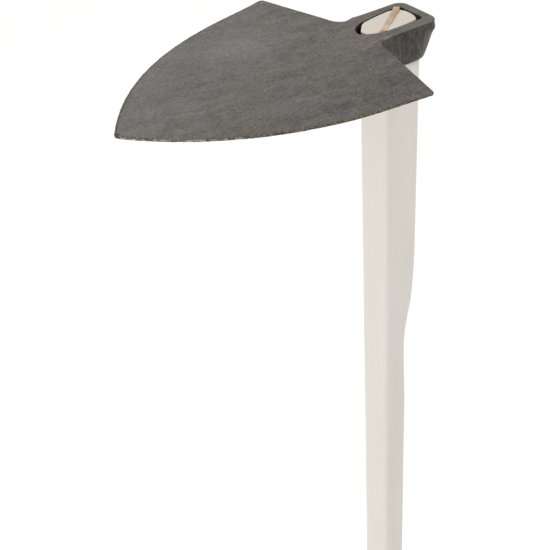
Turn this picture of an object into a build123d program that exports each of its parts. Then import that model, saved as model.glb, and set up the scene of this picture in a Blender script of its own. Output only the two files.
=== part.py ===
from build123d import *
import os
from math import atan2, degrees

# Grub hoe: one forged steel head with a tapered eye, hung on a long ash handle and
# locked by a diagonal hardwood wedge.
# Millimetres. +Z runs up the handle, the blade points along -Y, X runs across it.
# The origin is the centre of the handle's butt, which is also on the eye's axis.

# --- driving dimensions -------------------------------------------------------------
OVERALL_LENGTH = 1300.0      # butt to the top rim of the eye

BLADE_WIDTH = 190.4          # across the two shoulders
BLADE_REACH = 206.0          # eye axis to the blade's point
SHOULDER_REACH = 37.4        # eye axis to the shoulders
NECK_SLOPE = 0.234           # how far the neck edge falls back per mm of width
NECK_FILLET = 7.0            # where the neck edge runs into the eye's side
SHOULDER_RADIUS = 4.0
POINT_RADIUS = 3.0
RIM_THICKNESS = 1.2          # at full width; the middle is thicker, see BLADE_STATIONS
# Shoulder to point along the blade's side, as X and Y.
BLADE_SIDE = ((85.6, -89.4), (70.0, -130.2), (40.4, -173.5))
# Cross-sections along the blade: Y, drop of the top face below the rim, mid thickness.
BLADE_STATIONS = ((-14, 1.8, 3.4), (-SHOULDER_REACH, 3.1, 3.0), (-100, 5.6, 2.3),
                  (-168, 8.1, 1.8), (-BLADE_REACH - 1, 12.0, 1.5))
# Side view of the root under the neck and of the neck's top, as Y and drop below the rim.
ROOT_HEEL = (-24.0, 21.0)
ROOT_CURVE = ((-34.0, 12.0), (-58.0, 6.2))
ROOT_TOP = ((-58.0, 4.2), (-40.0, 3.3), (-12.0, 0.0))
NECK_TOP = ((-15.0, 0.0), (-26.0, 1.3), (-41.0, 3.25))
# Plan of the root's rounded end, as X and Y.
ROOT_END = ((14.0, -46.0), (0.0, -57.0))
ROOT_END_START = -26.0
ROOT_BACK = -5.0

EYE_HEIGHT = 26.5
EYE_OUTER_WIDTH = 40.6       # at the rim
RING_BACK = 29.9             # eye's outside, from its axis
RING_FRONT = 30.8
RING_CORNER = 7.6            # back corners outside
RIM_ROUND = 0.8
FOOT_ROUND = 2.2
EYE_BAND = 6.5               # upright band below the rim before the lean starts
RING_LEAN = (1.6, 4.0, 5.4)  # outside lean from rim to foot: side, front, back
# Corners of the opening at the rim, each with its fillet: flat back end, near side
# straight, far side falling in towards the lopsided round front.
EYE_CORNERS = ((12.1, 23.4, 3.2), (-14.2, 23.4, 3.2), (-11.4, -8.0, 9.0), (-8.4, -18.0, 7.0),
               (-2.0, -24.2, 4.5), (5.6, -24.2, 4.5), (12.1, -13.0, 7.0))
EYE_SHRINK = (0.93, 0.78)    # opening at the foot against the rim, across X and along Y

SHAFT_WIDTH = 32.4           # across X, constant all the way down
SHAFT_DEPTH = 21.2           # along Y, below the thick head block
SHAFT_CORNER = 3.8
BLOCK_BACK = 18.2            # back face of the thick block at the head end
BLOCK_SWELL = 0.5            # the block's back swells by this towards the eye
BLOCK_LENGTH = 190.0         # below the rim, where the back starts to fall away
RUNOUT_LENGTH = 345.0        # below the rim, where the shaft reaches its own depth
# Back of the shaft between the two, as Y and drop below the rim.
RUNOUT_LINE = ((17.0, 214), (14.4, 238), (9.6, 263), (8.9, 277), (9.6, 310))
FLARE_LENGTH = 66.0          # below the rim, where the front starts to swell
FLARE_FRONT = -17.5          # front face at the eye's foot
BUTT_ROUND = 3.0
# Corners of the pared end at the rim, each with its fillet: tight on the near side,
# pared clear of the far front, the back corners knocked off.
TENON_CORNERS = ((11.95, 9.0, 6.0), (10.4, 19.2, 4.0), (4.0, 22.6, 5.0), (-6.5, 22.6, 4.0),
                 (-11.4, 19.4, 4.0), (-13.1, 14.0, 5.0), (-12.3, 5.0, 12.0), (-10.6, -6.0, 8.0),
                 (-8.2, -13.2, 4.0), (3.7, -23.5, 1.8), (9.4, -17.8, 6.0), (11.95, -12.4, 5.0))
TENON_SHRINK = (0.92, 0.775)  # at the foot against the rim, across X and along Y
TENON_SUNK = 0.2              # end grain below the rim

WEDGE_BACK_THICKNESS = 4.1   # at the rim, at its proud back end
WEDGE_NEAR_THICKNESS = 4.6   # at the rim, at its near end
WEDGE_FOOT = 1.6             # along its thin lower edge
WEDGE_DEPTH = 24.0           # depth of the saw cut
WEDGE_SHORT = 0.4            # thin edge above the bottom of the saw cut
WEDGE_PROUD = 1.3            # above the rim at its back end
WEDGE_NEAR_SUNK = 0.3        # below the rim at its near end
WEDGE_OFFSET = 2.75          # centre plane from the eye's axis
WEDGE_RUN = (0.603, -0.797)  # plan direction, back far corner to near front
WEDGE_BACK_RUN = -23.0       # its square back end, along its line from the eye's axis
WEDGE_LEVEL_RUN = -20.0      # where its top starts to slope down
WEDGE_NEAR_RUN = 17.0
WEDGE_CLEARANCE = 0.15       # from the eye's wall
SAW_CLEARANCE = 0.05         # from each side of the saw cut
GLUE_START = 9.7             # X at which the glue takes over from the wedge
GLUE_DEPTH = 8.0

# --- derived ------------------------------------------------------------------------
RIM_Z = OVERALL_LENGTH
FOOT_Z = RIM_Z - EYE_HEIGHT
HALF_BLADE = BLADE_WIDTH / 2
HALF_RING = EYE_OUTER_WIDTH / 2
SHAFT_FRONT = -SHAFT_DEPTH / 2
SHAFT_BACK = SHAFT_DEPTH / 2
HALF_SHAFT = SHAFT_WIDTH / 2
BEYOND = 50.0                # reach of cutting shapes past what they cut


def below_rim(y, drop):
    """A point of the side view, given by its distance below the eye's rim."""
    return (y, RIM_Z - drop)


def slot_outline(half_width, front, back, corner):
    """Plan outline with a round front end (-Y) and a flat back end with two corners."""
    nose = half_width - front
    with BuildLine() as line:
        Line((half_width, nose), (half_width, back - corner))
        JernArc((half_width, back - corner), (0, 1), corner, 90)
        Line((half_width - corner, back), (corner - half_width, back))
        JernArc((corner - half_width, back), (-1, 0), corner, 90)
        Line((-half_width, back - corner), (-half_width, nose))
        JernArc((-half_width, nose), (0, -1), half_width, 180)
    return make_face(line.line)


def at_height(z, face):
    return Pos(0, 0, z) * face


# --- forged head --------------------------------------------------------------------
def eye_outer():
    """The eye's outside: an upright band under the rim, then sides that lean in."""
    side, front, back = RING_LEAN
    rim = slot_outline(HALF_RING, RING_FRONT, RING_BACK, RING_CORNER)
    foot = slot_outline(HALF_RING - side, RING_FRONT - front, RING_BACK - back, RING_CORNER)
    band = extrude(at_height(RIM_Z - EYE_BAND, rim), EYE_BAND)
    lean = loft([at_height(FOOT_Z, foot), at_height(RIM_Z - EYE_BAND, rim)], ruled=True)
    body = band + lean
    body = fillet(body.edges().filter_by_position(Axis.Z, RIM_Z, RIM_Z), RIM_ROUND)
    return fillet(body.edges().filter_by_position(Axis.Z, FOOT_Z, FOOT_Z), FOOT_ROUND)


def cornered_outline(corners, x_scale, y_scale):
    """A filleted polygon from (x, y, fillet) corners, scaled about the eye's axis."""
    points = [(x * x_scale, y * y_scale) for x, y, _ in corners]
    sheet = make_face(Polyline(*points, close=True))
    for (x, y), (_, _, radius) in zip(points, corners):
        corner = sheet.vertices().sort_by_distance((x, y, 0))[0]
        sheet = fillet(corner, radius * y_scale)
    return sheet


def eye_hole(clearance=0.0):
    """The tapered opening, wider at the rim than at the foot."""
    reach = EYE_CORNERS[0]
    x_scale, y_scale = (1 - clearance / reach[0], 1 - clearance / reach[1])
    rim = cornered_outline(EYE_CORNERS, x_scale, y_scale)
    foot = cornered_outline(EYE_CORNERS, x_scale * EYE_SHRINK[0], y_scale * EYE_SHRINK[1])
    return loft([at_height(FOOT_Z, foot), at_height(RIM_Z, rim)], ruled=True)


def blade_outline():
    """Plan outline: sloping neck edges, then two bowed sides that meet in a point."""
    neck_y = NECK_SLOPE * (HALF_BLADE - HALF_RING) - SHOULDER_REACH
    root_y = neck_y / 2
    with BuildLine() as line:
        Line((0, root_y), (HALF_RING, root_y))
        Line((HALF_RING, root_y), (HALF_RING, neck_y))
        Line((HALF_RING, neck_y), (HALF_BLADE, -SHOULDER_REACH))
        Spline((HALF_BLADE, -SHOULDER_REACH), *BLADE_SIDE, (0, -BLADE_REACH))
        mirror(line.line, Plane.YZ)
    sheet = make_face(line.line)
    corners = sheet.vertices()
    necks = [v for v in corners if abs(v.Y - neck_y) < 0.01]
    sheet = fillet(necks, NECK_FILLET)
    corners = sheet.vertices()
    shoulders = [v for v in corners if abs(v.Y + SHOULDER_REACH) < 0.01]
    sheet = fillet(shoulders, SHOULDER_RADIUS)
    point = sheet.vertices().sort_by(Axis.Y)[0]
    return fillet(point, POINT_RADIUS)


def blade_section(y, drop, thickness):
    """A cross-section of the blade: flat on top, bellied underneath."""
    half = HALF_BLADE + SHOULDER_RADIUS
    top = RIM_Z - drop
    with BuildLine() as line:
        Line((-half, top), (half, top))
        Line((half, top), (half, top - RIM_THICKNESS))
        ThreePointArc((half, top - RIM_THICKNESS), (0, top - thickness),
                      (-half, top - RIM_THICKNESS))
        Line((-half, top - RIM_THICKNESS), (-half, top))
    return Plane(origin=(0, y, 0), x_dir=(1, 0, 0), z_dir=(0, -1, 0)) * make_face(line.line)


def blade_plate():
    """The dished plate: a skin through the cross-sections, cut to the plan outline."""
    slab = loft([blade_section(*station) for station in BLADE_STATIONS])
    return slab & extrude(at_height(RIM_Z - BEYOND, blade_outline()), BEYOND)


def neck_root():
    """The thick root under the neck that carries the blade into the eye's front wall."""
    curve = [below_rim(*point) for point in ROOT_CURVE]
    top = [below_rim(*point) for point in ROOT_TOP]
    heel = below_rim(*ROOT_HEEL)
    corner = (top[-1][0], heel[1])
    with BuildLine() as line:
        Polyline(top[-1], corner, heel)
        Spline(heel, *curve, tangents=[(0, 1), (-1, 0.06)])
        Polyline(curve[-1], *top)
    body = extrude(Plane.YZ * make_face(line.line), HALF_RING, both=True)
    return body & extrude(at_height(RIM_Z - BEYOND, root_plan()), BEYOND)


def root_plan():
    """Plan outline of the root: as wide as the eye, ending in a rounded tongue."""
    tip = ROOT_END[-1]
    with BuildLine() as line:
        Polyline((0, tip[1]), (0, ROOT_BACK), (HALF_RING, ROOT_BACK), (HALF_RING, ROOT_END_START))
        Spline((HALF_RING, ROOT_END_START), *ROOT_END, tangents=[(0, -1), (-1, 0)])
    half = make_face(line.line)
    return half + mirror(half, Plane.YZ)


def above_neck():
    """Space over the neck, which trims the rim down to the blade's top face."""
    start, middle, end = (below_rim(*point) for point in NECK_TOP)
    over = RIM_Z + RIM_ROUND
    with BuildLine() as line:
        Spline(start, middle, end, tangents=[(-1, 0), (-1, -0.05)])
        Polyline(end, (end[0], over), (start[0], over), start)
    return extrude(Plane.YZ * make_face(line.line), HALF_BLADE, both=True)


def hoe_head():
    """Blade, neck and eye forged from one piece, with the worn edges rounded over."""
    head = eye_outer() + neck_root() + blade_plate()
    return head - above_neck() - eye_hole()


# --- handle -------------------------------------------------------------------------
def tenon():
    """Fills the tapered eye, a hair clear of its wall."""
    rim = cornered_outline(TENON_CORNERS, 1, 1)
    foot = cornered_outline(TENON_CORNERS, *TENON_SHRINK)
    whole = loft([at_height(FOOT_Z, foot), at_height(RIM_Z, rim)], ruled=True)
    return whole - Pos(0, 0, RIM_Z) * Box(BEYOND, BEYOND, 2 * TENON_SUNK)


def shaft():
    """The long shaft: thick block at the head, then a run-out to its own depth."""
    flare = below_rim(SHAFT_FRONT, FLARE_LENGTH)
    nose = below_rim(FLARE_FRONT, EYE_HEIGHT)
    head_back = below_rim(BLOCK_BACK + BLOCK_SWELL, EYE_HEIGHT)
    block_end = below_rim(BLOCK_BACK, BLOCK_LENGTH)
    runout = [below_rim(*point) for point in RUNOUT_LINE]
    runout_end = below_rim(SHAFT_BACK, RUNOUT_LENGTH)
    with BuildLine() as line:
        Line((SHAFT_FRONT, 0), flare)
        Spline(flare, nose, tangents=[(0, 1), (-0.15, 1)])
        Polyline(nose, head_back, block_end)
        Spline(block_end, *runout, runout_end, tangents=[(0, -1), (0, -1)])
        Polyline(runout_end, (SHAFT_BACK, 0), (SHAFT_FRONT, 0))
    bar = extrude(Plane.YZ * make_face(line.line), HALF_SHAFT, both=True)
    long_edges = [e for e in bar.edges() if e.bounding_box().size.Z > EYE_HEIGHT]
    bar = fillet(long_edges, SHAFT_CORNER)
    return fillet(bar.edges().filter_by_position(Axis.Z, 0, 0), BUTT_ROUND)


def wedge_section(run, thickness, foot_thickness, depth, proud):
    """The wedge's cross-section at a place along its run."""
    growth = (thickness - foot_thickness) / depth
    top = thickness + growth * proud
    with BuildLine() as line:
        Polyline((-foot_thickness / 2, -depth), (foot_thickness / 2, -depth),
                 (top / 2, proud), (-top / 2, proud), (-foot_thickness / 2, -depth))
    return Plane(origin=(run, 0, 0), x_dir=(0, 1, 0), z_dir=(1, 0, 0)) * make_face(line.line)


def on_wedge_line(body):
    """Puts a body made along X onto the wedge's line across the eye."""
    turn = degrees(atan2(WEDGE_RUN[1], WEDGE_RUN[0]))
    centre = (-WEDGE_RUN[1] * WEDGE_OFFSET, WEDGE_RUN[0] * WEDGE_OFFSET)
    return Pos(centre[0], centre[1], RIM_Z) * Rot(0, 0, turn) * body


def wedge_slab(start, extra, depth, proud):
    """A slab that tapers downwards and towards its back end, from start past the near wall."""
    slope = (WEDGE_NEAR_THICKNESS - WEDGE_BACK_THICKNESS) / (WEDGE_NEAR_RUN - WEDGE_BACK_RUN)
    ends = []
    for run in (start, WEDGE_NEAR_RUN + EYE_HEIGHT / 2):
        thickness = WEDGE_BACK_THICKNESS + slope * (run - WEDGE_BACK_RUN) + extra
        ends.append(wedge_section(run, thickness, WEDGE_FOOT + extra, depth, proud))
    return on_wedge_line(loft(ends, ruled=True))


def handle():
    """Shaft and tenon in one length of ash, sawn for the wedge."""
    saw_cut = wedge_slab(-BEYOND, 2 * SAW_CLEARANCE, WEDGE_DEPTH, WEDGE_PROUD)
    return shaft() + tenon() - saw_cut


# --- wedge and glue -----------------------------------------------------------------
def wedge_space():
    """The room for the wedge inside the eye and a little above it."""
    room = eye_hole(WEDGE_CLEARANCE)
    scale = [1 - 2 * WEDGE_CLEARANCE / reach for reach in EYE_CORNERS[0][:2]]
    rim = cornered_outline(EYE_CORNERS, *scale)
    return room + extrude(at_height(RIM_Z - TENON_SUNK, rim), TENON_SUNK + WEDGE_PROUD)


def beyond_glue_line(low, high, gap):
    """A block on the near side of the line where the glue meets the wedge."""
    block = Box(BEYOND, 2 * BEYOND, high - low)
    return Pos(GLUE_START + gap + BEYOND / 2, 0, (low + high) / 2) * block


def above_wedge():
    """Space over the wedge, level at its back end and sloping down to its near end."""
    with BuildLine() as line:
        Polyline((-BEYOND, WEDGE_PROUD), (WEDGE_LEVEL_RUN, WEDGE_PROUD),
                 (WEDGE_NEAR_RUN, -WEDGE_NEAR_SUNK), (BEYOND, -WEDGE_NEAR_SUNK),
                 (BEYOND, BEYOND), (-BEYOND, BEYOND), (-BEYOND, WEDGE_PROUD))
    return on_wedge_line(extrude(Plane.XZ * make_face(line.line), BEYOND, both=True))


def eye_wedge():
    """Hardwood wedge, flush at its near end and standing proud at its back end."""
    slab = wedge_slab(WEDGE_BACK_RUN, 0, WEDGE_DEPTH - WEDGE_SHORT, WEDGE_PROUD) & wedge_space()
    return slab - beyond_glue_line(RIM_Z - GLUE_DEPTH, RIM_Z + BEYOND, 0) - above_wedge()


def glue_bead():
    """Dried glue squeezed out between the wedge's near end and the eye's wall."""
    slab = wedge_slab(WEDGE_BACK_RUN, 0, WEDGE_DEPTH - WEDGE_SHORT, 0) & wedge_space()
    return slab & beyond_glue_line(RIM_Z - GLUE_DEPTH + SAW_CLEARANCE, RIM_Z - TENON_SUNK, SAW_CLEARANCE)


def main():
    os.makedirs("parts", exist_ok=True)
    for make in (hoe_head, handle, eye_wedge, glue_bead):
        export_step(make(), f"parts/{make.__name__}.step")


main()
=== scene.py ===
import math

import bpy
import numpy as np
from mathutils import Matrix, Vector


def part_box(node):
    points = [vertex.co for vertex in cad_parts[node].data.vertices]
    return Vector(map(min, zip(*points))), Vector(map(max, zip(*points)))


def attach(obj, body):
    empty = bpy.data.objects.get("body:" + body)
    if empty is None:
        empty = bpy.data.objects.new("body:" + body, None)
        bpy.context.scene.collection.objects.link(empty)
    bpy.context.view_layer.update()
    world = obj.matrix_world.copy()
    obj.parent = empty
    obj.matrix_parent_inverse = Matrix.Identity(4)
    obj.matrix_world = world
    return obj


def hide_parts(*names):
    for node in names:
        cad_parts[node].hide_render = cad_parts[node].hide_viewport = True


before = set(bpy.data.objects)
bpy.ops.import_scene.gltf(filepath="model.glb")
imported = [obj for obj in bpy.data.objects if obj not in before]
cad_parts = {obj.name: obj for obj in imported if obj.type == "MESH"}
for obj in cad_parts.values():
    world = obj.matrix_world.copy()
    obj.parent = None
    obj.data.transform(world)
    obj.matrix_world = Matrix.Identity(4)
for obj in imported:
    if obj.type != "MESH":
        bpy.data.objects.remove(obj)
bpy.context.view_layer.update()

# Looks of the grub hoe: forged head, ash handle, eye wedge and a dab of dried glue.
# Shapes are worked out in millimetres, with depth measured up from the eye's rim
# (negative below it), and become metres when a mesh is made. X and Y are the frame's:
# the blade points along -Y, and the eye's axis is at x = y = 0.
MM = 0.001

# --- places read from the frame -----------------------------------------------------
head_low, head_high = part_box("hoe_head")
handle_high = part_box("handle")[1]
RIM_Z = head_high.z / MM
EYE_HEIGHT = (head_high.z - head_low.z) / MM
# The forged ring swells a little past the CAD's back.
RING_BACK = head_high.y / MM + 0.3
HALF_SHAFT = handle_high.x / MM
END_GRAIN = handle_high.z / MM - RIM_Z

# --- forged head: blade -------------------------------------------------------------
# The shoulders' corners lie this far in front of the eye's axis, and their straight
# edges come back by NECK_SLOPE for each millimetre towards the neck.
HALF_BLADE = 94.9
SHOULDER_REACH = 37.4
SHOULDER_ROUND = 3.0
NECK_SLOPE = 0.234
# Fillets between the blade and the ring on the -X and +X sides, and the half width
# over which one turns into the other.
NECK_FILLETS = (12.0, 7.0)
FILLET_CHANGE = 15.0
POINT_ROUND = 3.2
# The blade's side: half width at a place along Y.
SIDE_CURVE = ((94.7, -37.4), (89.6, -66.3), (81.8, -100.2), (69.9, -130.2),
              (53.7, -157.2), (32.6, -181.3), (0.0, -206.3))
SIDE_DEGREE = 6
# The blade's dish and its thickness on the middle line: how far its top lies below the
# rim at a place along Y, and how thick it is there.
PLATE_START = -14.0
BLADE_DROP = ((1.8, PLATE_START), (3.1, -37.4), (5.6, -100), (8.1, -168), (12.0, -207))
BLADE_THICK = ((3.4, PLATE_START), (3.0, -37.4), (2.3, -100), (1.8, -168), (1.5, -207))
PLATE_DEGREE = 4
# Away from the middle line it thins towards the edge, by the square of the distance.
THINNING_REACH = 100.0
EDGE_THICKNESS = 1.2
EDGE_ROUND = 0.35
# The bevel round the blade's long sides, which fades in past the shoulders.
BEVEL_WIDTH, BEVEL_DROP = 1.5, 0.55
BEVEL_FADE = 12.0

# --- forged head: ring, eye and root ------------------------------------------------
HALF_RING = 20.1
RING_FRONT = 30.8
RING_CORNER = 7.6
# The back of the ring stands a little towards +X, and its front doesn't.
RING_SHIFT = 0.35
RING_SHIFT_RUN = (-20, 0)
# The outside is upright in a band below the rim, then leans in by these amounts at the
# side, front and back, while its corners get rounder.
RING_BAND = 6.5
RING_LEAN = (1.6, 4.0, 5.4)
CORNER_GROWTH = 4.5
RIM_ROUND = 0.45
FOOT_ROUND = 2.4
# Corners of the eye's opening at the rim, walked counter-clockwise, and how much
# narrower it is at the foot.
EYE_CORNERS = ((12.1, 23.4), (-14.2, 23.4), (-11.4, -8.0), (-8.4, -18.0), (-2.0, -24.1),
               (5.6, -24.1), (12.1, -13.0))
EYE_SHRINK = (0.93, 0.78)
EYE_CORNER = 3.2
EYE_ROUND = 0.35

# The rim is flat as far forward as FLAT_RIM_END, and the neck falls from it to the blade.
FLAT_RIM_END, FLAT_RIM_FADE = -9.0, 8.0
NECK_START, NECK_RUN = -15.0, 26.0
# Half the width over which the ring's top turns into the blade's.
RIDGE_HALF = 2.16
# The root under the neck: a tongue in plan, deep at the ring and shallow at its tip.
TONGUE_START, TONGUE_RUN, TONGUE_BACK = -26.0, 31.0, -12.0
ROOT_START, ROOT_RUN, ROOT_CURVE = -24.0, 34.0, 2.7
ROOT_DEPTH, ROOT_END = 21.0, 6.2
ROOT_BLEND = 3.0
# Blend between plate and ring: none where both have the same top, more in front.
SEAM_BLEND, NECK_BLEND = 0.01, 1.5
NECK_BLEND_RUN = (-20, -30)

# Marks of the forge, as layers of height, grain and seed.
WAVES = ((0.10, (16, 22, 30), 3), (0.05, (5, 8, 9), 4))
RIPPLES = ((0.30, (9, 8, 12), 5), (0.16, (3.2, 2.6, 9), 6), (0.06, (1.6, 1.5, 2.5), 7))
NICKS = ((0.16, (4, 4, 9), 8), (0.10, (1.7, 1.7, 9), 9))
# Shares of the waves left on the ring and of the ripples left inside the eye.
RING_WAVES = 0.5
EYE_RIPPLES = 0.3
# A lump at the ring's back corner, below the rim.
BULGE_HEIGHT = 0.7
BULGE_PLACE = (17, 27, -5.5)
BULGE_SPREAD = (5, 4, 2.5)

# --- handle -------------------------------------------------------------------------
BUTT_ROUND = 3.0
# The thick block's back and front: place along Y at a depth below the rim.
BLOCK_LINE = ((26.5, 18.7), (190, 18.2), (202, 17.8), (214, 17.2), (226, 16.2), (238, 14.7),
              (250, 12.2), (263, 9.8), (277, 9.0), (293, 9.1), (310, 9.6), (328, 10.2), (345, 10.6))
FRONT_LINE = ((26.5, -17.5), (32, -16.4), (40, -14.2), (48, -12.3), (56, -11.1), (66, -10.6))
# Corner rounding by depth below the rim: near back, far back, far front, near front.
CORNER_LINES = (((26.5, 3.2), (1300, 3.4)), ((26.5, 3.8), (1300, 3.8)), ((26.5, 4.2), (1300, 4.2)),
                ((26.5, 2.4), (120, 2.8), (300, 4.2), (1300, 4.4)))
SMALLEST_CORNER = 0.8
CORNER_STEPS = 7
FLAT_STEPS = 6
# Corners of the pared end at the rim, walked counter-clockwise.
TENON_CORNERS = ((11.95, 9.0), (10.4, 19.2), (4.0, 22.6), (-6.5, 22.6), (-11.4, 19.4),
                 (-13.1, 14.0), (-12.3, 5.0), (-10.6, -6.0), (-8.2, -13.2), (3.7, -23.3),
                 (9.4, -17.8), (11.95, -12.4))
TENON_SHRINK = (0.92, 0.775)
TENON_CORNER = 1.8
# Plane marks down the handle and fibres across the end grain.
PLANE_MARKS = ((0.10, (60, 60, 90), 21), (0.05, (11, 11, 60), 22))
END_FIBRES = ((0.10, (3, 3, 50), 23),)

# --- wedge and glue -----------------------------------------------------------------
# The wedge runs diagonally, from behind the tenon to its near side.
WEDGE_RUN = Vector((0.603, -0.797))
WEDGE_NORMAL = Vector((0.797, 0.603))
WEDGE_TURN = math.atan2(WEDGE_RUN.y, WEDGE_RUN.x)
WEDGE_OFFSET = 2.75
WEDGE_BACK, WEDGE_NEAR = -23.0, 12.4
WEDGE_BACK_THICK, WEDGE_NEAR_THICK, WEDGE_TIP = 4.1, 4.5, 1.6
WEDGE_DEPTH = 23.6
# Its top stands proud at the back, falls along a curve and is sunk at the near end.
WEDGE_PROUD, WEDGE_FALL, WEDGE_SUNK = 1.3, 1.6, 0.15
WEDGE_CROWN = 0.1
WEDGE_STEPS = (64, 14, 16)
WEDGE_GAP = 0.2
PULLS = 16
NEAR_END_RUN = (1, 8)
FIBRE_DEPTH = 1.2
WEDGE_FIBRES = ((0.08, (12, 0.7, 9), 31), (0.048, (5, 0.4, 9), 32))
# The saw cut is the wedge's slab, longer and taller, with a hair's breadth to spare.
CUT_REACH, CUT_RISE, CUT_SPARE = 12.0, 3.0, 0.04

GLUE_RUN, GLUE_DEPTH = 14.3, -1.3
GLUE_HALVES = (2.6, 2.52, 1.45)
GLUE_ROUNDNESS = 0.75
GLUE_STEPS = (10, 12, 8)
GLUE_GAP = 0.05
GLUE_LUMPS = ((0.12, (1.2, 1.2, 1.2), 41),)


# --- noise and distances ------------------------------------------------------------
NOISE_TABLE = 8192
CELL_HASH = (73856093, 19349663, 83492791)


def lattice_noise(place, cell, seed):
    """Smooth noise between -1 and 1 at (n, 3) places; cell is its grain along each axis."""
    table = np.random.default_rng(seed).uniform(-1, 1, NOISE_TABLE)
    scaled = place / np.asarray(cell, float)
    low = np.floor(scaled).astype(np.int64)
    part = scaled - low
    part = part * part * (3 - 2 * part)
    total = np.zeros(len(place))
    for corner in np.ndindex(2, 2, 2):
        step = (low + np.array(corner)) * CELL_HASH
        entry = step[:, 0] ^ step[:, 1] ^ step[:, 2]
        share = np.where(np.array(corner) == 1, part, 1 - part).prod(axis=1)
        total += share * table[entry % NOISE_TABLE]
    return total


def layered_noise(place, layers):
    """The sum of layers of noise, each given by its height, grain and seed."""
    return sum(height * lattice_noise(place, cell, seed) for height, cell, seed in layers)


def round_max(a, b, radius):
    """Where both solids are, with the edge between them rounded."""
    reach = np.hypot(np.maximum(radius + a, 0), np.maximum(radius + b, 0))
    return np.minimum(-radius, np.maximum(a, b)) + reach


def round_min(a, b, radius):
    """Where either solid is, with the inner corner between them filled."""
    reach = np.hypot(np.maximum(radius - a, 0), np.maximum(radius - b, 0))
    return np.maximum(radius, np.minimum(a, b)) - reach


def smooth_step(low, high, value):
    t = np.clip((value - low) / (high - low), 0, 1)
    return t * t * (3 - 2 * t)


def spot(offsets, spreads):
    """A soft round spot: 1 at its middle, where the offsets are 0."""
    return np.exp(-sum((offset / spread) ** 2 for offset, spread in zip(offsets, spreads)))


def through(points, degree, value):
    """A smooth curve through (result, input) points."""
    results, inputs = np.array(points, float).T
    return np.polyval(np.polyfit(inputs / 100, results, degree), value / 100)


def along(line, below):
    """Straight-line lookup in (depth below the rim, value) points."""
    depths, values = np.array(line, float).T
    return float(np.interp(below, depths, values))


def slot_distance(x, y, half, front, back, corner):
    """Plan distance to an outline with a round front and two back corners."""
    x = x - RING_SHIFT * smooth_step(*RING_SHIFT_RUN, y)
    nose = half - front
    right = np.abs(x) - (half - corner)
    behind = y - (back - corner)
    square = (np.hypot(np.maximum(right, 0), np.maximum(behind, 0))
              + np.minimum(np.maximum(right, behind), 0) - corner)
    return np.where(y < nose, np.hypot(x, y - nose) - half, square)


def cornered_distance(x, y, corners, radius):
    """Plan distance to a polygon with rounded corners, walked counter-clockwise."""
    total = -np.inf
    for (ax, ay), (bx, by) in zip(corners, corners[1:] + corners[:1]):
        side = ((by - ay) * (x - ax) - (bx - ax) * (y - ay)) / math.hypot(bx - ax, by - ay)
        total = round_max(total, side, radius)
    return total


def eye_distance(x, y, depth):
    """Distance to the tapered opening through the eye."""
    fall = np.clip(-depth / EYE_HEIGHT, -0.1, 1.1)
    x_scale, y_scale = (1 - (1 - shrink) * fall for shrink in EYE_SHRINK)
    return cornered_distance(x / x_scale, y / y_scale, EYE_CORNERS, EYE_CORNER) * y_scale


# --- forged head --------------------------------------------------------------------
def blade_plan(x, y):
    """Plan distance to the blade's outline."""
    half = through(SIDE_CURVE, SIDE_DEGREE, y)
    widening = through(SIDE_CURVE, SIDE_DEGREE, y + 0.5) - through(SIDE_CURVE, SIDE_DEGREE, y - 0.5)
    square = np.hypot(1, widening)
    side = round_max((x - half) / square, (-x - half) / square, POINT_ROUND)
    neck = y + SHOULDER_REACH - NECK_SLOPE * (HALF_BLADE - np.abs(x))
    return round_max(side, neck / np.hypot(1, NECK_SLOPE), SHOULDER_ROUND)


def rim_plan(x, y):
    """Plan distance to the ring's outline at the rim."""
    return slot_distance(x, y, HALF_RING, RING_FRONT, RING_BACK, RING_CORNER)


def tongue_plan(x, y):
    """Plan distance to the root that runs out under the blade."""
    t = np.clip((TONGUE_START - y) / TONGUE_RUN, 0, 1)
    half = HALF_RING * np.sqrt(1 - t * t)
    ends = np.maximum(TONGUE_START - TONGUE_RUN - y, y - TONGUE_BACK)
    return np.maximum(np.abs(x) - half, ends)


def past_shoulders(y):
    """0 at the shoulders, rising to 1 along the blade's long sides."""
    return smooth_step(SHOULDER_REACH, SHOULDER_REACH + BEVEL_FADE, -y)


def head_top(x, y):
    """Height of the top, made of the eye's rim, the neck and the dished blade, and where it is ring."""
    blade = through(BLADE_DROP, PLATE_DEGREE, np.minimum(y, PLATE_START))
    blade = blade * smooth_step(0, FLAT_RIM_FADE, FLAT_RIM_END - y)
    neck = blade * smooth_step(0, NECK_RUN, NECK_START - y)
    ring = np.minimum(rim_plan(x, y), tongue_plan(x, y))
    on_ring = 1 - smooth_step(-RIDGE_HALF, RIDGE_HALF, ring)
    return -(blade + (neck - blade) * on_ring), on_ring


def forge_marks(x, y, depth, on_ring):
    """Waves of the top, ripples of the ring's walls and nicks in the blade's outline."""
    place = np.column_stack([x, y, depth])
    waves = layered_noise(place, WAVES) * (1 - (1 - RING_WAVES) * on_ring)
    ripples = layered_noise(place, RIPPLES) - BULGE_HEIGHT * spot((place - BULGE_PLACE).T, BULGE_SPREAD)
    ripples = ripples * (0.4 + 0.6 * smooth_step(-0.5, -4, depth))
    return waves, ripples, layered_noise(place, NICKS)


def ring_distance(x, y, depth, ripples):
    """Distance to the ring's outside, which leans in towards its foot."""
    lean = np.clip((-depth - RING_BAND) / (EYE_HEIGHT - RING_BAND), 0, 1)
    side, front, back = (amount * lean for amount in RING_LEAN)
    corner = RING_CORNER + CORNER_GROWTH * lean
    wall = slot_distance(x, y, HALF_RING - side, RING_FRONT - front, RING_BACK - back, corner)
    return round_max(wall + ripples, -depth - EYE_HEIGHT, FOOT_ROUND)


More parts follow.
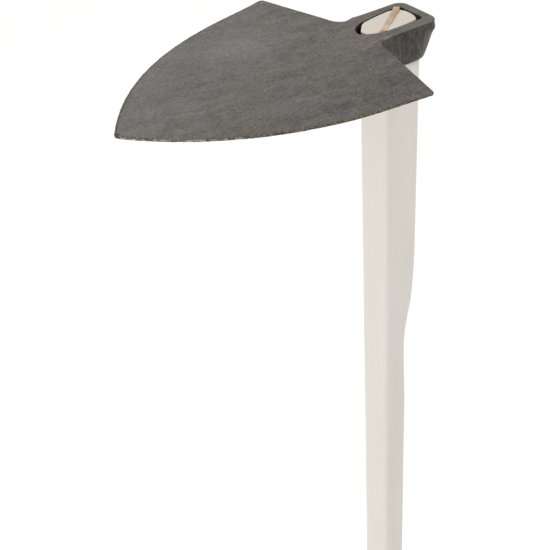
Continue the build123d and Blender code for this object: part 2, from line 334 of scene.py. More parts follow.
def root_distance(x, y, depth):
    """Distance to the thick root under the neck."""
    run = np.clip((y - ROOT_START + ROOT_RUN) / ROOT_RUN, 0, 1)
    bottom = ROOT_END + (ROOT_DEPTH - ROOT_END) * run ** ROOT_CURVE
    return round_max(tongue_plan(x, y), -depth - bottom, ROOT_BLEND)


def plate_distance(x, y, above, nicks):
    """Distance to the blade and its joint with the ring, as one plate; above is height over its top."""
    outline = blade_plan(x, y) + nicks
    fillet = NECK_FILLETS[0] + ((NECK_FILLETS[1] - NECK_FILLETS[0])
                                * smooth_step(-FILLET_CHANGE, FILLET_CHANGE, x))
    plan = round_min(outline, rim_plan(x, y), fillet)
    middle = through(BLADE_THICK, PLATE_DEGREE, np.minimum(y, PLATE_START))
    thickness = EDGE_THICKNESS + (middle - EDGE_THICKNESS) * (1 - (x / THINNING_REACH) ** 2)
    bevel = BEVEL_DROP * np.clip(1 + outline / BEVEL_WIDTH, 0, 1.5) * past_shoulders(y)
    plate = round_max(plan, -above - thickness, EDGE_ROUND)
    return round_max(plate, above + bevel, EDGE_ROUND)


def head_distance(x, y, depth, rough):
    """Signed distance to the forged head. With rough, the marks of the forge are on it."""
    top, on_ring = head_top(x, y)
    waves, ripples, nicks = forge_marks(x, y, depth, on_ring) if rough else (0, 0, 0)
    above = depth - top - waves
    body = round_min(ring_distance(x, y, depth, ripples), root_distance(x, y, depth), ROOT_BLEND)
    blend = SEAM_BLEND + NECK_BLEND * smooth_step(*NECK_BLEND_RUN, y)
    solid = round_min(body, plate_distance(x, y, above, nicks), blend)
    solid = round_max(solid, above, EDGE_ROUND + (RIM_ROUND - EDGE_ROUND) * on_ring)
    return round_max(solid, -eye_distance(x, y, depth) - EYE_RIPPLES * ripples, EYE_ROUND)


# --- meshes -------------------------------------------------------------------------
def graded(*runs):
    """Sample positions made of runs (start, end, spacing)."""
    return np.concatenate([np.arange(start, end, step) for start, end, step in runs])


def surface_net(places, values):
    """Quads on the zero surface of values (i, j, k) sampled at places (i, j, k, 3)."""
    cells = np.array(values.shape) - 1
    strides = np.array([cells[1] * cells[2], cells[2], 1])
    total = np.zeros((cells.prod(), 3))
    count = np.zeros(cells.prod())
    rings = []
    for axis in range(3):
        others = [(axis + 1) % 3, (axis + 2) % 3]
        first = tuple(slice(0, -1) if k == axis else slice(None) for k in range(3))
        last = tuple(slice(1, None) if k == axis else slice(None) for k in range(3))
        crossing = np.argwhere((values[first] < 0) != (values[last] < 0))
        inside = (crossing[:, others] > 0).all(1) & (crossing[:, others] < cells[others]).all(1)
        crossing = crossing[inside]
        ahead = crossing.copy()
        ahead[:, axis] += 1
        a = values[tuple(crossing.T)]
        b = values[tuple(ahead.T)]
        share = (a / (a - b))[:, None]
        place = places[tuple(crossing.T)] * (1 - share) + places[tuple(ahead.T)] * share
        around = []
        for back in ((0, 0), (1, 0), (1, 1), (0, 1)):
            cell = crossing.copy()
            cell[:, others] -= back
            around.append(cell @ strides)
            for k in range(3):
                total[:, k] += np.bincount(around[-1], place[:, k], len(total))
            count += np.bincount(around[-1], minlength=len(total))
        ring = np.column_stack(around)
        ring[a >= 0] = ring[a >= 0][:, ::-1]
        rings.append(ring)
    used = np.flatnonzero(count)
    number = np.zeros(len(count), int)
    number[used] = np.arange(len(used))
    return total[used] / count[used, None], number[np.concatenate(rings)]


def lattice_shell(steps, shape):
    """Closed box of quads; shape(u, v, w) places lattice values 0..1 in millimetres."""
    numbers = {}
    places = []

    def vertex(key):
        if key not in numbers:
            numbers[key] = len(places)
            places.append(shape(*(k / s for k, s in zip(key, steps))))
        return numbers[key]

    faces = []
    for axis in range(3):
        u, v = (axis + 1) % 3, (axis + 2) % 3
        for level in (0, steps[axis]):
            for i in range(steps[u]):
                for j in range(steps[v]):
                    face = []
                    for di, dj in ((0, 0), (1, 0), (1, 1), (0, 1)):
                        key = [0, 0, 0]
                        key[axis], key[u], key[v] = level, i + di, j + dj
                        face.append(vertex(tuple(key)))
                    faces.append(face if level else face[::-1])
    return np.array(places), faces


def make_object(name, vertices, faces, materials):
    """A smooth mesh object at the origin from millimetre vertices in the row frame."""
    mesh = bpy.data.meshes.new(name)
    mesh.from_pydata((np.asarray(vertices) * MM).tolist(), [], [list(f) for f in faces])
    for material in materials:
        mesh.materials.append(material)
    mesh.polygons.foreach_set("use_smooth", [True] * len(mesh.polygons))
    mesh.validate()
    thing = bpy.data.objects.new(name, mesh)
    bpy.context.scene.collection.objects.link(thing)
    return thing


def set_attribute(thing, name, values):
    attribute = thing.data.attributes.new(name, "FLOAT", "POINT")
    attribute.data.foreach_set("value", np.asarray(values, np.float32))


def cut_away(thing, cutter):
    """Takes the cutter's volume out of the thing for good."""
    cut = thing.modifiers.new("cut", "BOOLEAN")
    cut.operation, cut.solver, cut.object = "DIFFERENCE", "EXACT", cutter
    bpy.context.view_layer.update()
    whole = thing.data
    seen = thing.evaluated_get(bpy.context.evaluated_depsgraph_get())
    thing.data = bpy.data.meshes.new_from_object(seen)
    thing.modifiers.clear()
    bpy.data.objects.remove(cutter)
    bpy.data.meshes.remove(whole)


# --- head piece ---------------------------------------------------------------------
# Samples across, along and through the head: close together round the eye and near the
# top. The small shift keeps the flat surfaces off the sample levels.
HEAD_X_RUNS = ((-98, -24, 1.0), (-24, 24, 0.6), (24, 99, 1.0))
HEAD_Y_RUNS = ((-209, -46, 1.0), (-46, 32.5, 0.6))
HEAD_LEVEL_RUNS = ((-28, -4.5, 0.75), (-4.5, 1.2, 0.33))
LEVEL_SHIFT = 0.014
# The blade has a painted sheen, lighter towards -X and -Y and in one patch, and is dark at its point.
SHEEN_TILT = (-0.0018, -0.0013)
PATCH_PLACE, PATCH_SPREAD, PATCH_SHEEN = (-40, -86), (20, 26), 0.22
POINT_PLACE, POINT_SPREAD = -204.3, 2.2
# Steps that move the mesh's vertices onto the rough surface.
FITTING_STEPS = 3
LONGEST_STEP = 0.4
LEAST_SLOPE = 0.2
SLOPE_REACH = 0.06


def head_slope(place):
    """Gradient of the distance to the rough head at (n, 3) places."""
    slopes = []
    for axis in range(3):
        shift = np.zeros(3)
        shift[axis] = SLOPE_REACH
        high = head_distance(*(place + shift).T, True)
        low = head_distance(*(place - shift).T, True)
        slopes.append((high - low) / (2 * SLOPE_REACH))
    return np.column_stack(slopes)


def forged_head(material):
    x, y = np.meshgrid(graded(*HEAD_X_RUNS), graded(*HEAD_Y_RUNS), indexing="ij")
    depth = head_top(x, y)[0][..., None] + graded(*HEAD_LEVEL_RUNS) + LEVEL_SHIFT
    x, y = (np.broadcast_to(flat[..., None], depth.shape) for flat in (x, y))
    place, quads = surface_net(np.stack([x, y, depth], axis=-1), head_distance(x, y, depth, False))
    for _ in range(FITTING_STEPS):
        slope = head_slope(place)
        move = head_distance(*place.T, True) / np.maximum((slope ** 2).sum(1), LEAST_SLOPE)
        place = place - np.clip(move, -LONGEST_STEP, LONGEST_STEP)[:, None] * slope
    normal = head_slope(place)
    normal /= np.linalg.norm(normal, axis=1)[:, None]
    thing = make_object("forged_head", place + [0, 0, RIM_Z], quads, [material])
    thing.data.normals_split_custom_set_from_vertices(normal)
    mark_ring(thing, *place.T, normal)
    mark_blade(thing, *place.T[:2], normal)
    return thing


def mark_ring(thing, x, y, depth, normal):
    """Attributes of the ring: brushed top, painted highlight on the worn rim, painted shade and dirt
    inside the eye and painted highlights on the back corners.
    """
    below = head_top(x, y)[0] - depth
    ring = np.minimum(rim_plan(x, y), tongue_plan(x, y))
    steep = 0.82 - 0.25 * smooth_step(-10, -18, y)
    set_attribute(thing, "upward", smooth_step(steep, steep + 0.13, normal[:, 2]))
    # Where the painted highlight runs along the worn outer edge of the rim.
    set_attribute(thing, "eye_edge", spot((ring + 0.3, below), (0.5, 0.4)) * smooth_step(-27, -18, y))
    # Painted shade and dirt on the eye's inner walls below the rim.
    set_attribute(thing, "inside", smooth_step(0.8, 4.5, below) * (eye_distance(x, y, depth) < 1.0))
    # Painted highlight on the ring's back corners below the rim, where light from behind and below falls.
    set_attribute(thing, "corner", smooth_step(15, 21, y + 0.3 * (below - 10)) * smooth_step(4, 8, below)
                  * (1 - smooth_step(0.6, 0.95, normal[:, 1])))


def mark_blade(thing, x, y, normal):
    """Attributes of the blade: its painted sheen, its ground edge, the honed line on it and the point."""
    on_ring = head_top(x, y)[1]
    outline = blade_plan(x, y)
    # Painted sheen: a lighter gradient and patch that stand in for the reflection of a light.
    patch = spot((x - PATCH_PLACE[0], y - PATCH_PLACE[1]), PATCH_SPREAD)
    painted_sheen = SHEEN_TILT[0] * x + SHEEN_TILT[1] * (y + 1.1 * HALF_BLADE) + PATCH_SHEEN * patch
    set_attribute(thing, "painted_sheen", painted_sheen * (1 - on_ring))

    away = np.maximum(smooth_step(21, 26, np.abs(x)), smooth_step(-40, -50, y)) * (1 - on_ring)
    beveled = smooth_step(-1.9, -1.2, outline) * past_shoulders(y)
    upright = smooth_step(-1.0, -0.2, outline) * (1 - smooth_step(0.35, 0.75, np.abs(normal[:, 2])))
    point = spot((x, y - POINT_PLACE), (POINT_SPREAD, POINT_SPREAD))
    edge = np.maximum(np.maximum(beveled, upright), smooth_step(0.2, 0.5, point))
    set_attribute(thing, "blade_edge", edge * away)
    set_attribute(thing, "cutting", smooth_step(-0.7, -0.1, outline) * away)
    tip = smooth_step(-110, -180, y) * (0.15 + 0.85 * smooth_step(-2, 8, x))
    set_attribute(thing, "tip", tip * (1 - smooth_step(0.1, 0.4, point)))


# --- materials ----------------------------------------------------------------------
class Shader:
    """A node material being written: each call adds one node and returns its output."""

    def __init__(self, name):
        self.material = bpy.data.materials.new(name)
        self.material.use_nodes = True
        self.tree = self.material.node_tree
        self.surface = self.tree.nodes["Principled BSDF"]
        self.here = self.add("ShaderNodeTexCoord", out="Object")

    def add(self, kind, inputs=(), out=0, **settings):
        node = self.tree.nodes.new(kind)
        for key, value in settings.items():
            setattr(node, key, value)
        for key, value in dict(inputs).items():
            self.put(node.inputs[key], value)
        return node.outputs[out]

    def put(self, socket, value):
        if isinstance(value, bpy.types.NodeSocket):
            self.tree.links.new(value, socket)
        else:
            socket.default_value = value

    def set(self, **values):
        """Sets the surface's inputs, with _ for the spaces in their names."""
        for key, value in values.items():
            self.put(self.surface.inputs[key.replace("_", " ")], value)

    def grain(self, size, turn=0.0):
        """Coordinates in which one unit is size millimetres along each axis."""
        scale = [1 / (s * MM) for s in size]
        turned = self.add("ShaderNodeMapping", {"Vector": self.here, "Rotation": (0, 0, turn)})
        return self.add("ShaderNodeMapping", {"Vector": turned, "Scale": scale})

    def noise(self, size, detail=2.0, rough=0.5, warp=0.0, turn=0.0):
        """Noise around 0.5 with the given grain in millimetres."""
        size = size if isinstance(size, tuple) else (size, size, size)
        inputs = {"Vector": self.grain(size, turn), "Scale": 1.0, "Detail": detail,
                  "Roughness": rough, "Distortion": warp}
        return self.add("ShaderNodeTexNoise", inputs)

    def math(self, kind, a, b=0.0, clamp=False):
        return self.add("ShaderNodeMath", {0: a, 1: b}, operation=kind, use_clamp=clamp)

    def times(self, a, b):
        return self.math("MULTIPLY", a, b)

    def total(self, first, *others):
        """The sum of two or more values."""
        for value in others:
            first = self.math("ADD", first, value)
        return first

    def remap(self, value, low, high, to_low=0.0, to_high=1.0):
        inputs = {"Value": value, "From Min": low, "From Max": high,
                  "To Min": to_low, "To Max": to_high}
        return self.add("ShaderNodeMapRange", inputs)

    def swing(self, noise, amount):
        """The noise as a number between -amount and amount."""
        return self.remap(noise, 0.3, 0.7, -amount, amount)

    def attribute(self, name):
        return self.add("ShaderNodeAttribute", out="Fac", attribute_name=name)

    def mix(self, share, a, b):
        node = self.tree.nodes.new("ShaderNodeMix")
        node.data_type = "RGBA"
        self.put(node.inputs[0], share)
        self.put(node.inputs[6], a)
        self.put(node.inputs[7], b)
        return node.outputs[2]

    def shade(self, colour, factor):
        """The colour made lighter or darker by a number."""
        node = self.tree.nodes.new("ShaderNodeVectorMath")
        node.operation = "SCALE"
        self.put(node.inputs[0], colour)
        self.put(node.inputs["Scale"], factor)
        return node.outputs[0]

    def bump(self, height, distance, strength=1.0, normal=None):
        """A bump of a height in millimetres, over another bump's normal if one is given."""
        inputs = {"Height": height, "Distance": distance * MM, "Strength": strength}
        if normal is not None:
            inputs["Normal"] = normal
        return self.add("ShaderNodeBump", inputs)


def colour(red, green, blue):
    """A linear colour from 0-255 display values."""
    steps = [v / 255 for v in (red, green, blue)]
    return [*(v / 12.92 if v < 0.04045 else ((v + 0.055) / 1.055) ** 2.4 for v in steps), 1.0]


def steel():
    """Forged steel: brushed on top, scaly on the walls, bare at the edges, with a painted highlight along
    the worn rim.
    """
    s = Shader("forged_steel")
    upward = s.attribute("upward")
    blotch = s.noise((7, 11, 9), 4, 0.6, 0.6)
    brushed = s.noise((0.9, 9, 2), 4, 0.6, 0.3, 0.10)
    fine = s.noise(1.9, 3, 0.65)
    base = s.mix(upward, scaly_wall(s, fine), brushed_top(s, blotch, brushed, fine))
    # A painted highlight along the worn outer edge of the rim: lighter steel.
    worn_rim_highlight = s.math("MULTIPLY", s.attribute("eye_edge"), s.remap(blotch, 0.35, 0.6, 0.2, 1.0), True)
    base = s.mix(s.times(worn_rim_highlight, 0.45), base, colour(150, 146, 140))
    base = s.mix(s.attribute("blade_edge"), base, ground_edge(s))

    normal = s.bump(s.total(s.times(brushed, 0.6), s.times(fine, 0.6)), 0.06, 0.6)
    normal = s.bump(blotch, 0.25, s.remap(upward, 0, 1, 0.6, 0.25), normal)
    rough = s.total(s.remap(blotch, 0.3, 0.7, 0.47, 0.60), s.swing(brushed, 0.05))
    s.set(Base_Color=base, Metallic=0.55, Roughness=rough, Normal=normal)
    return s.material


def brushed_top(s, blotch, brushed, fine):
    """Grey steel with brush strokes in two directions, scratches and a painted sheen, lightest in one
    patch.
    """
    broad = s.noise((38, 55, 40), 3, 0.55)
    crossed = s.noise((1.1, 6, 2), 3, 0.6, 0.2, -0.30)
    bands = s.noise((10, 50, 20), 3, 0.55, 0.5, 0.2)
    scratched = s.times(s.remap(s.noise((1.4, 13, 3), 2, 0.5, 0.3, 0.15), 0.60, 0.72),
                        s.remap(s.noise(30, 2, 0.5), 0.48, 0.62))
    # The painted sheen lightens the steel towards -X and -Y and in one patch.
    painted_sheen = s.attribute("painted_sheen")
    tone = s.total(s.remap(broad, 0.3, 0.7, 0.91, 1.05), s.swing(blotch, 0.14), s.swing(bands, 0.13),
                   s.swing(brushed, 0.17), s.swing(crossed, 0.12), s.swing(fine, 0.27),
                   s.times(scratched, -0.22), painted_sheen)
    ground = s.mix(s.remap(broad, 0.35, 0.65), colour(111, 106, 99), colour(109, 104, 100))
    return s.shade(s.mix(s.remap(painted_sheen, 0.0, 0.3), ground, colour(109, 108, 107)), tone)


def scaly_wall(s, fine):
    """Dark scale drawn down the walls, with painted highlights on the back corners and painted shade and
    dirt darkest inside the eye.
    """
    mottle = s.noise((5, 5, 8), 5, 0.65, 0.8)
    scale = s.mix(s.remap(mottle, 0.35, 0.68), colour(54, 50, 45), colour(86, 82, 77))
    # The back corners get a lighter colour: a painted highlight.
    scale = s.mix(s.attribute("corner"), scale, colour(101, 98, 93))
    drawn = s.noise((1.3, 1.6, 11), 3, 0.6, 0.8)
    streak = s.total(s.remap(drawn, 0.3, 0.7, 0.62, 1.38), s.swing(fine, 0.27))
    # Inside the eye the colour is painted shade with dirt.
    return s.mix(s.attribute("inside"), s.shade(scale, streak), colour(53, 47, 39))


def ground_edge(s):
    """Brown, speckled edge with bare metal along its honed line."""
    speck = s.noise(1.3, 2, 0.6)
    edge = s.mix(s.remap(speck, 0.42, 0.58), colour(64, 55, 45), colour(104, 96, 84))
    honed = s.times(s.attribute("cutting"), s.remap(s.noise((5, 5, 2), 2, 0.5), 0.47, 0.60))
    bright = s.math("MAXIMUM", s.remap(s.noise(1.1, 1, 0.5), 0.62, 0.70), honed)
    bright = s.math("MULTIPLY", bright, s.remap(s.attribute("tip"), 0, 1, 0.1, 0.9), True)
    return s.mix(bright, edge, colour(176, 169, 154))


def ash_along():
    """Ash along the grain: pale, with long streaks, a few specks and painted shade that darkens it
    further below the head.
    """
    s = Shader("ash_face")
    streaks = s.noise((2.4, 2.4, 260), 4, 0.55, 0.4)
    fibre = s.noise((0.5, 0.5, 28), 3, 0.6)
    clouds = s.noise((30, 30, 120), 2, 0.5)
    base = s.mix(s.remap(clouds, 0.3, 0.7), colour(227, 221, 211), colour(229, 225, 218))
    base = s.mix(s.remap(streaks, 0.52, 0.75, 0, 0.35), base, colour(214, 205, 188))
    speck = s.remap(s.noise((2.5, 2.5, 4), 1, 0.4), 0.76, 0.80)
    base = s.mix(s.times(speck, 0.4), base, colour(222, 200, 150))
    # The last term is painted shade that makes the wood darker lower down the handle.
    tone = s.total(s.remap(streaks, 0.3, 0.7, 0.975, 1.02), s.swing(fibre, 0.012),
                   s.times(s.attribute("painted_low_shade"), -0.06))
    s.set(Base_Color=s.shade(base, tone), Roughness=s.remap(streaks, 0.3, 0.7, 0.52, 0.62),
          Normal=s.bump(fibre, 0.06, 0.35))
    return s.material


def ash_across():
    """Ash across the grain, with faint rings and open pores."""
    s = Shader("ash_end")
    rings = s.noise((2.2, 30, 30), 3, 0.6, 0.6, 0.3)
    pores = s.noise(0.7, 3, 0.7)
    base = s.mix(s.remap(rings, 0.3, 0.7), colour(208, 199, 185), colour(213, 205, 191))
    tone = s.total(s.remap(rings, 0.3, 0.7, 0.98, 1.02), s.swing(pores, 0.05))
    s.set(Base_Color=s.shade(base, tone), Roughness=0.8, Normal=s.bump(pores, 0.12, 0.6))
    return s.material


def wedge_wood():
    """Tan wood with its fibres along the wedge, pinker and paler at the near end."""
    s = Shader("wedge_wood")
    fibre = s.noise((9, 0.55, 6), 4, 0.6, 0.3, -WEDGE_TURN)
    bands = s.noise((30, 1.6, 12), 2, 0.5, 0.2, -WEDGE_TURN)
    base = s.mix(s.remap(fibre, 0.32, 0.68), colour(164, 136, 110), colour(206, 182, 156))
    base = s.mix(s.remap(bands, 0.5, 0.7, 0, 0.4), base, colour(180, 152, 126))
    base = s.mix(s.times(s.attribute("near_end"), 0.6), base, colour(212, 192, 178))
    s.set(Base_Color=base, Roughness=0.78, Normal=s.bump(fibre, 0.15, 0.7))
    return s.material


def dried_glue():
    """Cloudy amber glue with a slight gloss."""
    s = Shader("dried_glue")
    cloudy = s.noise(1.1, 3, 0.6, 0.5)
    base = s.mix(s.remap(cloudy, 0.35, 0.65), colour(150, 96, 30), colour(212, 150, 58))
    s.set(Base_Color=base, Roughness=s.remap(cloudy, 0.3, 0.7, 0.28, 0.45), Coat_Weight=0.3,
          Normal=s.bump(cloudy, 0.2, 0.6))
    return s.material


# --- handle piece -------------------------------------------------------------------
# Rows from the butt up: how much of its section each ring of the flat end has, and the
# steps of its rounded rim.
BUTT_SHARES = (0.12, 0.3, 0.5, 0.7, 0.85, 0.95)
BUTT_STEPS = 4
# Depths of the shaft's rows, closer together from just below the thick block up, and the
# block's rounded top edge: how far drawn in, and how far below the shoulder.
SHAFT_TOP, SHAFT_STEP = 350, 8
BLOCK_FOOT, BLOCK_STEP = 346, 3
BLOCK_EDGE = ((0.3, 0.9), (1.0, 0.15))
# Rows of the tenon: share of its foot's section and height above the shoulder, then
# depths through the eye.
TENON_FOOT = ((1.02, -0.1), (1.0, 0.3))
TENON_DEPTHS = (22, 18, 14, 10, 7, 4.5, 3, 2, 1.4)
# Rows of the end grain: its worn rim starts and ends these depths below it, drawn in to
# a share of the section, and the flat goes on in to the middle.
END_ROUNDING = (0.35, 0.1)
END_DRAWN_IN = 0.985
END_SHARES = (0.95, 0.85, 0.72, 0.58, 0.44, 0.3, 0.16, 0.05)
# The search for the tenon's outline halves the distance from the axis to outside it.
OUTSIDE_TENON, HALVINGS = 40.0, 24
# Depths over which painted shade makes the wood darker, towards the bottom.
LOW_SHADE_RUN = (90, 330)


def bar_loop(front, back, half, radii):
    """A rounded rectangle walked counter-clockwise, with points along its flats too."""
    near_back, far_back, far_front, near_front = radii
    centres = [(half - near_back, back - near_back), (far_back - half, back - far_back),
               (far_front - half, front + far_front), (half - near_front, front + near_front)]
    arcs = []
    for quarter, ((cx, cy), radius) in enumerate(zip(centres, radii)):
        turn = math.pi / 2 * (quarter + np.linspace(0, 1, CORNER_STEPS + 1))
        arcs.append(np.column_stack([cx + radius * np.cos(turn), cy + radius * np.sin(turn)]))
    loop = []
    for arc, following in zip(arcs, arcs[1:] + arcs[:1]):
        share = np.linspace(0, 1, FLAT_STEPS + 1)[1:-1, None]
        loop += [arc, arc[-1] + (following[0] - arc[-1]) * share]
    return np.concatenate(loop)


def bar_at(below, inset=0.0):
    """The handle's section at a depth below the rim, drawn in by the inset."""
    front = along(FRONT_LINE, below) + inset
    back = along(BLOCK_LINE, below) - inset
    radii = [max(along(line, below) - 0.6 * inset, SMALLEST_CORNER) for line in CORNER_LINES]
    return bar_loop(front, back, HALF_SHAFT - inset, radii)


def tenon_loop(angles):
    """The pared end at the rim, one point at each angle round the axis."""
    low, high = np.zeros(len(angles)), np.full(len(angles), OUTSIDE_TENON)
    for _ in range(HALVINGS):
        middle = (low + high) / 2
        outside = cornered_distance(middle * np.cos(angles), middle * np.sin(angles),
                                    TENON_CORNERS, TENON_CORNER) > 0
        low, high = np.where(outside, low, middle), np.where(outside, middle, high)
    return np.column_stack([low * np.cos(angles), low * np.sin(angles)])


def taper_loop(loop, below):
    """The tenon's loop, narrowed as the eye narrows."""
    return loop * [1 - (1 - shrink) * below / EYE_HEIGHT for shrink in TENON_SHRINK]


def butt_rows():
    """(loop, height) rows of the butt's rounded rim."""
    rows = []
    for step in range(BUTT_STEPS + 1):
        a = math.pi / 2 * step / BUTT_STEPS
        rows.append((bar_at(RIM_Z, BUTT_ROUND * (1 - math.sin(a))), BUTT_ROUND * (1 - math.cos(a))))
    return rows


def shaft_rows():
    """(loop, height) rows of the shaft and the thick block, up to the shoulder under the eye."""
    depths = graded((RIM_Z - 10, SHAFT_TOP, -SHAFT_STEP), (BLOCK_FOOT, EYE_HEIGHT + 1.5, -BLOCK_STEP))
    rows = [(bar_at(below), RIM_Z - below) for below in depths]
    shoulder = RIM_Z - EYE_HEIGHT
    return rows + [(bar_at(EYE_HEIGHT, inset), shoulder - drop) for inset, drop in BLOCK_EDGE]


def tenon_rows(rim):
    """(loop, height) rows of the tenon, from the shoulder to just under its end."""
    shoulder = RIM_Z - EYE_HEIGHT
    foot = taper_loop(rim, EYE_HEIGHT)
    rows = [(foot * share, shoulder + rise) for share, rise in TENON_FOOT]
    return rows + [(taper_loop(rim, below), RIM_Z - below) for below in TENON_DEPTHS]


def end_rows(rim):
    """(loop, height) rows of the end grain, from its worn rim to its middle."""
    height = RIM_Z + END_GRAIN
    lower, upper = END_ROUNDING
    rows = [(taper_loop(rim, -END_GRAIN), height - lower), (rim * END_DRAWN_IN, height - upper)]
    return rows + [(rim * share, height) for share in END_SHARES]


def worked_surface(place):
    """Lays the plane's marks on the shaft and raises the fibres of the end grain."""
    shaft = place[:, 2] <= RIM_Z - EYE_HEIGHT - 1
    out = place[:, :2] / np.maximum(np.hypot(*place[:, :2].T), 1)[:, None]
    place[:, :2] -= out * np.where(shaft, np.abs(layered_noise(place, PLANE_MARKS)), 0)[:, None]
    end = place[:, 2] > RIM_Z + END_GRAIN - 0.5
    place[end, 2] -= np.abs(layered_noise(place[end], END_FIBRES))
    return place


def ash_handle():
    flat_end = [(bar_at(RIM_Z, BUTT_ROUND) * share, 0.0) for share in BUTT_SHARES]
    rows = flat_end + butt_rows() + shaft_rows()
    last_bar = rows[-1][0]
    rim = tenon_loop(np.arctan2(last_bar[:, 1], last_bar[:, 0]))
    rows += tenon_rows(rim)
    end_start = len(rows)
    rows += end_rows(rim)

    count = len(rim)
    place = np.concatenate([np.column_stack([loop, np.full(count, z)]) for loop, z in rows])
    faces, kinds = [], []
    for row in range(len(rows) - 1):
        a, b = row * count, (row + 1) * count
        for k in range(count):
            n = (k + 1) % count
            faces.append((a + k, a + n, b + n, b + k))
            kinds.append(1 if row >= end_start or row < len(flat_end) else 0)
    last = (len(rows) - 1) * count
    faces += [tuple(range(count - 1, -1, -1)), tuple(range(last, last + count))]
    kinds += [1, 1]

    place = worked_surface(place)
    thing = make_object("ash_handle", place, faces, [ash_along(), ash_across()])
    thing.data.polygons.foreach_set("material_index", kinds)
    # Painted shade: darker lower down the handle.
    set_attribute(thing, "painted_low_shade", smooth_step(*LOW_SHADE_RUN, RIM_Z - place[:, 2]))
    cut_away(thing, saw_cut())
    return thing


# --- wedge and glue pieces ----------------------------------------------------------
def on_wedge(run, across, depth):
    """A place given along the wedge, across it and up from the rim."""
    plan = WEDGE_RUN * run + WEDGE_NORMAL * (WEDGE_OFFSET + across)
    return (plan.x, plan.y, RIM_Z + depth)


def wedge_slab(run, v, w, rise, spare=0.0):
    """(run, across, depth) in the tapered slab, at shares v of its thickness and w of its height."""
    share = (run - WEDGE_BACK) / (WEDGE_NEAR - WEDGE_BACK)
    top = WEDGE_BACK_THICK + (WEDGE_NEAR_THICK - WEDGE_BACK_THICK) * share
    depth = -WEDGE_DEPTH + (WEDGE_DEPTH + rise) * w
    thick = WEDGE_TIP + (top - WEDGE_TIP) * (depth + WEDGE_DEPTH) / WEDGE_DEPTH
    return run, (v - 0.5) * (thick + spare), depth


def saw_cut():
    """The cutter that opens the tenon for the wedge."""
    def shape(u, v, w):
        run = WEDGE_BACK - CUT_REACH + (WEDGE_NEAR - WEDGE_BACK + 2 * CUT_REACH) * u
        return on_wedge(*wedge_slab(run, v, w, CUT_RISE, CUT_SPARE))

    return make_object("saw_cut", *lattice_shell((1, 1, 1), shape), [])


def eye_wedge():
    def shape(u, v, w):
        run = WEDGE_BACK + (WEDGE_NEAR - WEDGE_BACK) * u
        run, across, depth = wedge_slab(run, v, w, WEDGE_PROUD * (1 - u) ** WEDGE_FALL - WEDGE_SUNK * u)
        crown = WEDGE_CROWN * abs(2 * v - 1) ** 6 if w == 1 else 0
        return on_wedge(run, across, depth - crown)

    place, faces = lattice_shell(WEDGE_STEPS, shape)
    place = inside_eye(raised_fibres(place), WEDGE_GAP)
    thing = make_object("eye_wedge_grain", place, faces, [wedge_wood()])
    set_attribute(thing, "near_end", smooth_step(*NEAR_END_RUN, place[:, :2] @ np.array(WEDGE_RUN)))
    return thing


def raised_fibres(place):
    """Raises and lowers the fibres that run along the wedge's top."""
    turned = place[:, :2] @ np.array([WEDGE_RUN, WEDGE_NORMAL]).T
    top = place[:, 2] > RIM_Z - FIBRE_DEPTH
    place[top, 2] += layered_noise(np.column_stack([turned, place[:, 2]])[top], WEDGE_FIBRES)
    return place


def inside_eye(place, gap):
    """Pulls points back inside the eye's wall along the wedge's run."""
    out = place.copy()
    depth = np.minimum(place[:, 2] - RIM_Z, 0)
    centre = np.array(WEDGE_NORMAL) * WEDGE_OFFSET
    for _ in range(PULLS):
        over = np.maximum(eye_distance(out[:, 0], out[:, 1], depth) + gap, 0)
        run = (out[:, :2] - centre) @ np.array(WEDGE_RUN)
        out[:, :2] -= (np.sign(run) * over)[:, None] * np.array(WEDGE_RUN)
    return out


def glue_drop():
    def shape(u, v, w):
        """A box's places drawn towards a ball's, at the wedge's near end."""
        ball = Vector((2 * u - 1, 2 * v - 1, 2 * w - 1))
        ball = ball * (max(abs(c) for c in ball) / max(ball.length, 1e-6)) ** GLUE_ROUNDNESS
        run, across, depth = (c * half for c, half in zip(ball, GLUE_HALVES))
        return on_wedge(GLUE_RUN + run, across, GLUE_DEPTH + depth)

    place, faces = lattice_shell(GLUE_STEPS, shape)
    place[:, 2] += layered_noise(place, GLUE_LUMPS)
    return make_object("glue_drop", inside_eye(place, GLUE_GAP), faces, [dried_glue()])


# --- build --------------------------------------------------------------------------
for piece, node, slot in ((forged_head(steel()), "hoe_head", "forged_steel"),
                          (ash_handle(), "handle", "ash_wood"),
                          (eye_wedge(), "eye_wedge", "wedge_wood"),
                          (glue_drop(), "glue_bead", "dried_glue")):
    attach(piece, "root")
    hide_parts(node)

# --- studio -------------------------------------------------------------------------
FLOOR_HALF = 9000.0
FLOOR_CELLS = 24
WORLD_STRENGTH = 0.58


def studio_floor():
    s = Shader("studio_floor")
    mottle = s.noise(400, 2, 0.5)
    s.set(Base_Color=s.mix(s.remap(mottle, 0.3, 0.7), colour(251, 251, 250), colour(253, 252, 251)),
          Roughness=0.9)
    steps = np.linspace(-FLOOR_HALF, FLOOR_HALF, FLOOR_CELLS + 1)
    gx, gy = np.meshgrid(steps, steps, indexing="ij")
    place = np.column_stack([gx.ravel(), gy.ravel(), np.zeros(gx.size)])
    faces = []
    for i in range(FLOOR_CELLS):
        for j in range(FLOOR_CELLS):
            a = i * (FLOOR_CELLS + 1) + j
            faces.append((a, a + FLOOR_CELLS + 1, a + FLOOR_CELLS + 2, a + 1))
    return make_object("studio_floor", place, faces, [s.material])


def area_light(name, place, aim, size, watts, tint=(1, 1, 1)):
    light = bpy.data.lights.new(name, "AREA")
    light.color = tint
    light.shape = "RECTANGLE"
    light.size, light.size_y = size
    light.energy = watts
    thing = bpy.data.objects.new(name, light)
    thing.location = place
    thing.rotation_euler = (Vector(aim) - Vector(place)).to_track_quat("-Z", "Y").to_euler()
    thing.visible_camera = False
    bpy.context.scene.collection.objects.link(thing)


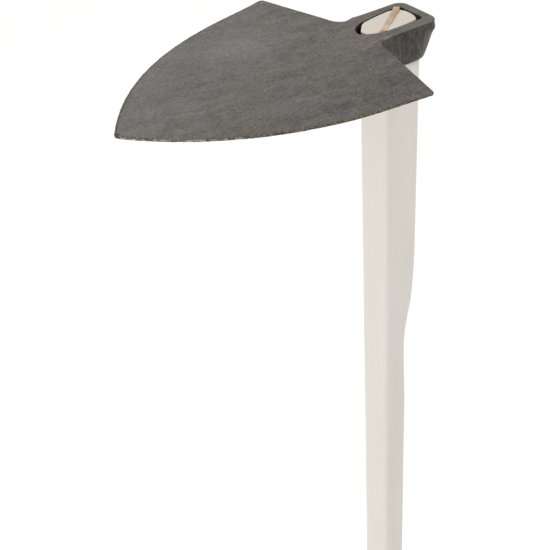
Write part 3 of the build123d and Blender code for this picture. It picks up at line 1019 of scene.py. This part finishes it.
def soft_sun(name, toward, spread, strength):
    """An even soft light from one direction, the same at the floor as at the head."""
    light = bpy.data.lights.new(name, "SUN")
    light.angle = math.radians(spread)
    light.energy = strength
    thing = bpy.data.objects.new(name, light)
    thing.rotation_euler = Vector(toward).to_track_quat("Z", "Y").to_euler()
    bpy.context.scene.collection.objects.link(thing)


studio_floor()
soft_sun("overhead", toward=(-0.10, 0.02, 1.0), spread=70, strength=1.45)
area_light("front_box", (-0.3, -1.3, 1.22), aim=(0, 0, 1.22), size=(1.0, 0.35), watts=5)
area_light("side_box", (3.2, 0.2, 0.9), aim=(0, 0, 1.0), size=(1.8, 1.8), watts=5, tint=(1.0, 0.96, 0.88))

world = bpy.data.worlds.new("studio")
world.use_nodes = True
background = world.node_tree.nodes["Background"]
background.inputs["Color"].default_value = (1, 1, 1, 1)
background.inputs["Strength"].default_value = WORLD_STRENGTH
bpy.context.scene.world = world
bpy.context.scene.view_settings.view_transform = "Standard"

# --- camera -------------------------------------------------------------------------
CAMERA_FROM_RIM = Vector((0.529055, -0.425055, 0.29944))
AZIMUTH, ELEVATION, ROLL = (math.radians(a) for a in (58.50, 36.80, -4.31))
LENS, SENSOR = 70.27, 36.0

backward = Vector((math.sin(AZIMUTH) * math.cos(ELEVATION),
                   -math.cos(AZIMUTH) * math.cos(ELEVATION), math.sin(ELEVATION)))
level = Vector((math.cos(AZIMUTH), math.sin(AZIMUTH), 0))
upright = backward.cross(level)
rightward = level * math.cos(ROLL) + upright * math.sin(ROLL)
upward = upright * math.cos(ROLL) - level * math.sin(ROLL)
camera = bpy.data.objects.new("camera", bpy.data.cameras.new("camera"))
camera.data.lens, camera.data.sensor_width = LENS, SENSOR
camera.data.clip_start, camera.data.clip_end = 0.01, 60
turned = Matrix((rightward, upward, backward)).transposed().to_4x4()
camera.matrix_world = Matrix.Translation(CAMERA_FROM_RIM + Vector((0, 0, RIM_Z * MM))) @ turned
bpy.context.scene.collection.objects.link(camera)
bpy.context.scene.camera = camera
